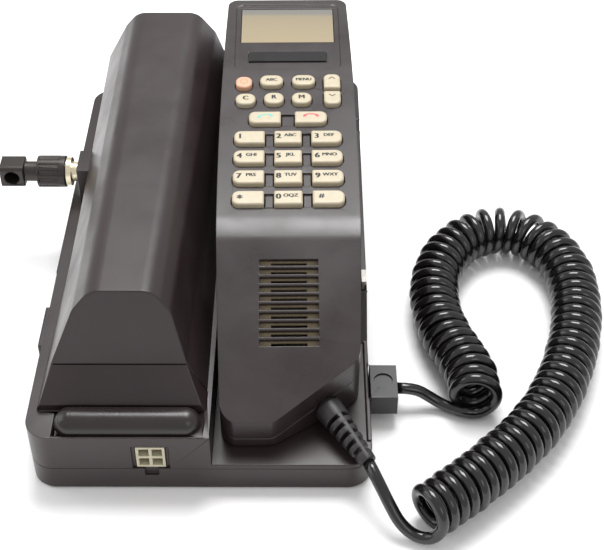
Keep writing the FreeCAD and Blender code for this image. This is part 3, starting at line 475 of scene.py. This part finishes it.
badge_ribs(12, 0.5 * MM, 0.22 * MM, 5.4 * MM, Vector((-15.6, 104.7, 0.14)) * MM)

# ------------------------------------------------------------------ speaker grille
# A beige nylon plate behind the ten slots of the mouthpiece face; each slot shows its own cut.
# The grey silicone mat lies under the keys.
GRILLE = grained("nylon_beige_dusty", "#8a7c64", 0.55, 0.0, 0.8, 0.15, 0.15)
dress("sounder_grille", GRILLE)
SILICONE = grained("silicone_grey", "#6d6c68", 0.6, 0.0, 1.0, 0.1)
dress("key_mat", SILICONE)

# ------------------------------------------------------------------ keys
# Twenty-two ivory ABS keycaps with crowned edges, standing on the silicone mat, and their
# legends, printed on each cap in dark ink, green, red or orange.
KEY_IVORY = grained("abs_ivory_keycap", "#b8ad95", 0.34, 0.0, 2.5, 0.03, 0.05,
                    Subsurface_Weight=0.1, Subsurface_Scale=0.0015)
KEY_WARM = grained("abs_keycap_faded_orange", "#cfa084", 0.36, 0.0, 2.5, 0.03, 0.08)
KEY_TOP = 2.0                       # of the crown, above the handset's face
PRINT_LIFT = 0.03
KEY_ACROSS, KEY_DOWN, FIRST_ROW = 15.3, 11.8, 49.5
DIGIT_HEIGHT, LETTER_HEIGHT = 2.9, 1.8
STROKE = 0.42


def ink(name, hex_colour):
    """Pad-printed ink, slightly uneven."""
    return grained(name, hex_colour, 0.5, 0.0, 0.4, 0.05, 0.15)


INK_DARK = ink("print_ink_dark", "#1f1b1a")
INK_GREEN = ink("print_ink_sea_green", "#6fb7ae")
INK_RED = ink("print_ink_red", "#dc4a52")
INK_ORANGE = ink("print_ink_orange", "#d98a63")


CAPITAL_SHARE = 0.73                # of the type size, for a capital letter
BOLD_SHIFTS = (-0.07, 0.07, 0.07)   # three copies side by side thicken the strokes


def text_mesh(words, height):
    """Printed letters as a flat mesh, centred, `height` mm tall in capitals."""
    curve = bpy.data.curves.new("legend_text", "FONT")
    curve.body = words
    curve.align_x, curve.align_y = "CENTER", "CENTER"
    curve.size = height * MM / CAPITAL_SHARE
    curve.extrude = 0.02 * MM
    curve.resolution_u = 3
    holder = link_object("legend_text", curve)
    bpy.context.view_layer.update()
    mesh = bpy.data.meshes.new_from_object(
        holder.evaluated_get(bpy.context.evaluated_depsgraph_get()))
    bpy.data.objects.remove(holder)
    bold = bmesh.new()
    for shift in BOLD_SHIFTS:
        mesh.transform(Matrix.Translation((shift * height * MM, 0, 0)))
        bold.from_mesh(mesh)
    bold.to_mesh(mesh)
    bold.free()
    return mesh


def receiver_mesh(lift):
    """A telephone receiver seen from its side, ends down; lifted, it is turned a little."""
    made = bmesh.new()
    half, arch, thick, cup, steps = 3.1, 0.9, 0.75, 0.62, 16
    upper, under = [], []
    for i in range(steps + 1):
        share = i / steps * 2 - 1
        middle = arch * (1 - share * share)
        below = middle - (thick if abs(share) > cup else -0.1)
        upper.append(made.verts.new(Vector((half * share, middle + thick, 0)) * MM))
        under.append(made.verts.new(Vector((half * share, below, 0)) * MM))
    for i in range(steps):
        made.faces.new((under[i], under[i + 1], upper[i + 1], upper[i]))
    bmesh.ops.translate(made, verts=made.verts, vec=(0, -0.5 * MM, 0))
    if lift:
        bmesh.ops.rotate(made, verts=made.verts, cent=(0, 0, 0),
                         matrix=Matrix.Rotation(math.radians(12), 3, "Z"))
    mesh = bpy.data.meshes.new("receiver")
    made.to_mesh(mesh)
    made.free()
    return mesh


def stroke_mesh(points, thick):
    """A printed stroke of one thickness through flat points, in millimetres."""
    made = bmesh.new()
    for one, two in zip(points, points[1:]):
        one, two = Vector(one), Vector(two)
        side = Vector((-(two - one).y, (two - one).x)).normalized() * thick / 2
        corners = [one - side, two - side, two + side, one + side]
        made.faces.new([made.verts.new(Vector((c.x, c.y, 0)) * MM) for c in corners])
    mesh = bpy.data.meshes.new("stroke")
    made.to_mesh(mesh)
    made.free()
    return mesh


def print_on(key, name, parts, at, material):
    """Join printed shapes, place them on the key's crown and let them ride with the key."""
    made = bmesh.new()
    for mesh, (x, y) in parts:
        mesh.transform(Matrix.Translation(Vector((at[0] + x, at[1] + y, KEY_TOP + PRINT_LIFT)) * MM))
        made.from_mesh(mesh)
        bpy.data.meshes.remove(mesh)
    mesh = bpy.data.meshes.new(name)
    made.to_mesh(mesh)
    made.free()
    mesh.transform(HANDSET)
    mesh.materials.clear()
    mesh.materials.append(material)
    legend = link_object(name, mesh)
    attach(legend, key + "_body")


KEY_LETTERS = {2: "ABC", 3: "DEF", 4: "GHI", 5: "JKL", 6: "MNO", 7: "PRS", 8: "TUV", 9: "WXY",
               0: "OQZ"}
WORD_KEYS = {"key_abc": ("ABC", 1.75, (-6.7, 86.1)), "key_menu": ("MENU", 1.75, (6.6, 86.2)),
             "key_clear": ("C", 2.5, (-17.3, 74.0)), "key_recall": ("R", 2.5, (-5.7, 74.5)),
             "key_memory": ("M", 2.5, (5.7, 74.5)), "key_star": ("*", 3.6, (-18.4, 13.2)),
             "key_hash": ("#", 2.4, (12.6, 14.5))}


for key_node in [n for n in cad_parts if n.startswith("key_") and n != "key_mat"]:
    cap_name = key_node.replace("key_", "keycap_")
    moulding(cap_name, key_node, key_node + "_body",
             KEY_WARM if key_node == "key_power" else KEY_IVORY, 0.12)

for digit in range(10):
    row, column = ((digit - 1) // 3, (digit - 1) % 3 - 1) if digit else (3, 0)
    centre = (KEY_ACROSS * column, FIRST_ROW - KEY_DOWN * row)
    parts = [(text_mesh(str(digit), DIGIT_HEIGHT), (-3.7 if column < 1 else -3.9, 0.1))]
    if digit in KEY_LETTERS:
        parts.append((text_mesh(KEY_LETTERS[digit], LETTER_HEIGHT), (0.9, 0.7)))
    print_on("key_%d" % digit, "legend_%d" % digit, parts, centre, INK_DARK)
for key_node, (words, height, centre) in WORD_KEYS.items():
    print_on(key_node, "legend_" + key_node[4:], [(text_mesh(words, height), (0, 0))], centre,
             INK_DARK)
CHEVRON = [(-1.3, -0.6), (0, 0.7), (1.3, -0.6)]
CHEVRON_DOWN = [(x, -y) for x, y in CHEVRON]
print_on("key_up", "legend_up", [(stroke_mesh(CHEVRON, STROKE), (0, 0))], (18.4, 87.0), INK_DARK)
print_on("key_down", "legend_down", [(stroke_mesh(CHEVRON_DOWN, STROKE), (0, 0))],
         (18.3, 75.6), INK_DARK)
print_on("key_send", "legend_send", [(receiver_mesh(True), (0, 0))], (-9.3, 62.4), INK_GREEN)
print_on("key_end", "legend_end", [(receiver_mesh(False), (0, 0))], (9.3, 62.6), INK_RED)
OPEN_RING = [(1.5 * math.cos(math.radians(70 - 20 * i)), 1.5 * math.sin(math.radians(70 - 20 * i)))
             for i in range(17)]
print_on("key_power", "legend_power", [(stroke_mesh(OPEN_RING, 0.4), (0, 0))], (-18.2, 85.1),
         INK_ORANGE)

# ------------------------------------------------------------------ cord plug and boot
# The plug block and the ribbed boot are moulded on to the flex's two ends in soft black PVC,
# duller than the flex itself.
SOFT_PVC = grained("pvc_soft_moulded", "#232021", 0.42, 0.0, 0.6, 0.12)


def plug_edge(middle, one, two, angle):
    """The plug's edges outside the base's wall."""
    return angle > 60 and middle.x > 61.5


moulding("plug_block", "cord_plug", "base", SOFT_PVC, 0.3, [(plug_edge, 1.1, 4)])
moulding("ribbed_boot", "cord_strain_relief", "handset", SOFT_PVC, 0.3)

# ------------------------------------------------------------------ curly cord
# One jacketed flex of glossy black PVC: a short straight lead from the handset's boot, a wound
# curly length lying on the table in a loop, and a short straight tail into the moulded plug.
WIRE = 4.4 * MM
COIL_MEAN = 8.05 * MM               # from the coil's middle line to the flex's own middle
COIL_LIFT = 10.35 * MM              # of the middle line above the table
LOOSE_PITCH = 4.62 * MM             # along the middle line where it is straight
WIDEST_PITCH = 8.0 * MM
TABLE_GAP = 0.05 * MM
POINTS_A_TURN = 14
GUIDE_STEPS, BEND_SPAN = 40, 30     # steps of the middle line a point; steps to judge a bend
INNER_SHARE, LEAST_SHARE = 0.80, 0.45
COIL_ROUTE = [(79.0, -125.6), (91.0, -116.4), (105.4, -103.4), (118.0, -90.6), (128.6, -75.6),
              (137.2, -57.6), (143.4, -38.4), (146.8, -18.6), (146.0, 0.8), (139.0, 16.2),
              (126.0, 25.6), (110.6, 24.0), (97.8, 12.6), (90.4, -3.6), (88.8, -21.2),
              (91.4, -37.6), (97.0, -50.8), (101.2, -63.0), (100.8, -75.8)]
BOOT_END = (59.2, -109.0, 17.0)
LEAD_ROUTE = [(61.9, -115.2, 15.9), (65.7, -121.6, 11.2), (69.8, -127.2, 6.0)]
EASE_IN = [(75.5, -130.2, 2.6), (81.0, -132.0, 4.2)]      # from the lead into the first turn
FIRST_PHASE, LAST_PHASE = math.radians(-169), math.radians(-115)
TAIL_ROUTE = [(89.8, -69.2, 2.6), (83.9, -66.9, 5.4), (78.2, -66.2, 9.1), (71.5, -66.2, 9.1)]


def smooth_curve(name, points, resolution):
    """A NURBS curve of one open spline through the neighbourhood of its control points."""
    data = bpy.data.curves.new(name, "CURVE")
    data.dimensions = "3D"
    data.resolution_u = resolution
    spline = data.splines.new("NURBS")
    spline.points.add(len(points) - 1)
    for slot, point in zip(spline.points, points):
        slot.co = (point[0], point[1], point[2], 1.0)
    spline.order_u = 3
    spline.use_endpoint_u = True
    return link_object(name, data)


def curve_points(curve):
    """The points of a curve with no bevel, in order."""
    mesh = bpy.data.meshes.new_from_object(
        curve.evaluated_get(bpy.context.evaluated_depsgraph_get()))
    points = [vertex.co.copy() for vertex in mesh.vertices]
    bpy.data.meshes.remove(mesh)
    return points


def helix_points():
    """Turns wound round the coil's middle line, closer on its inside where the line bends."""
    guide = smooth_curve("coil_guide", [(x * MM, y * MM, COIL_LIFT) for x, y in COIL_ROUTE],
                         GUIDE_STEPS)
    bpy.context.view_layer.update()
    line = curve_points(guide)
    bpy.data.objects.remove(guide)
    run = [0.0]
    for before, after in zip(line, line[1:]):
        run.append(run[-1] + (after - before).length)
    headings = []
    for i in range(len(line)):
        step = line[min(i + 1, len(line) - 1)] - line[max(i - 1, 0)]
        headings.append(math.atan2(step.y, step.x))
    for i in range(1, len(headings)):
        while headings[i] - headings[i - 1] > math.pi:
            headings[i] -= 2 * math.pi
        while headings[i] - headings[i - 1] < -math.pi:
            headings[i] += 2 * math.pi

    def bend_at(i):
        """How fast the middle line turns, in radians a metre."""
        low, high = max(i - BEND_SPAN, 0), min(i + BEND_SPAN, len(line) - 1)
        return abs(headings[high] - headings[low]) / (run[high] - run[low])

    def pitch_at(i):
        """Turns touch on the inside of a bend, so they stand further apart at the middle."""
        inner = max(1 - INNER_SHARE * COIL_MEAN * bend_at(i), LEAST_SHARE)
        return min(LOOSE_PITCH / inner, WIDEST_PITCH)

    points, turn, index, here = [], FIRST_PHASE, 0, 0.0
    step = 2 * math.pi / POINTS_A_TURN
    while here < run[-1]:
        while index < len(run) - 2 and run[index + 1] < here:
            index += 1
        share = (here - run[index]) / max(run[index + 1] - run[index], 1e-9)
        middle = line[index].lerp(line[index + 1], share)
        heading = headings[index] + share * (headings[index + 1] - headings[index])
        across = Vector((-math.sin(heading), math.cos(heading), 0))
        # worn turns differ in width by up to three per cent
        uneven = 1 + 0.018 * math.sin(0.61 * turn) + 0.012 * math.sin(0.23 * turn + 1)
        reach = COIL_MEAN * uneven
        lift = max(math.sin(turn) * reach, -COIL_LIFT + WIRE / 2 + TABLE_GAP)
        points.append(middle + across * math.cos(turn) * reach + Vector((0, 0, lift)))
        turn -= step
        here += pitch_at(index) / POINTS_A_TURN
    spare = round((LAST_PHASE - turn - step) % (2 * math.pi) / step)   # past the tail's phase
    return points[:len(points) - spare]


def tube_mesh(name, path, radius, sides=14):
    """A closed round tube swept along close points without twisting."""
    made = bmesh.new()
    tangent = (path[1] - path[0]).normalized()
    normal = tangent.orthogonal().normalized()
    rings = []
    for i, point in enumerate(path):
        ahead = (path[min(i + 1, len(path) - 1)] - path[max(i - 1, 0)]).normalized()
        normal = (normal - ahead * normal.dot(ahead)).normalized()
        side = ahead.cross(normal)
        ring = [made.verts.new(point + (normal * math.cos(a) + side * math.sin(a)) * radius)
                for a in (2 * math.pi * k / sides for k in range(sides))]
        rings.append(ring)
    for one, two in zip(rings, rings[1:]):
        for k in range(sides):
            made.faces.new((one[k], one[(k + 1) % sides], two[(k + 1) % sides], two[k]))
    made.faces.new(list(reversed(rings[0])))
    made.faces.new(rings[-1])
    bmesh.ops.recalc_face_normals(made, faces=made.faces)
    mesh = bpy.data.meshes.new(name)
    made.to_mesh(mesh)
    made.free()
    for face in mesh.polygons:
        face.use_smooth = len(face.vertices) == 4
    return mesh


def glossy_pvc():
    """Plasticised PVC, extruded: near-black, a wet gloss with a very faint wave along it."""
    material, tree, shader = new_material("cord_pvc_extruded", "#141213", 0.16,
                                          Specular_IOR_Level=0.62)
    place = add_node(tree, "ShaderNodeTexCoord")
    wave = add_node(tree, "ShaderNodeTexNoise", {"Scale": 260.0, "Detail": 2.0},
                    {"Vector": place.outputs["Object"]})
    bump = add_node(tree, "ShaderNodeBump", {"Strength": 0.06, "Distance": 0.0004},
                    {"Height": wave.outputs[0]})
    tree.links.new(bump.outputs[0], shader.inputs["Normal"])
    return material


PVC = glossy_pvc()


def curly_cord():
    """The whole cord as one tube, still on the table."""
    turns = helix_points()
    lead = [Vector(p) * MM for p in [BOOT_END] + LEAD_ROUTE + EASE_IN]
    tail = [Vector(p) * MM for p in TAIL_ROUTE]
    route = smooth_curve("cord_route", lead + turns + tail, 4)
    bpy.context.view_layer.update()
    path = curve_points(route)
    bpy.data.objects.remove(route)
    cord = link_object("curly_cord", tube_mesh("curly_cord", path, WIRE / 2))
    cord.data.materials.append(PVC)
    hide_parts("cord_lead", "cord_coil", "cord_tail")
    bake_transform(cord)


curly_cord()
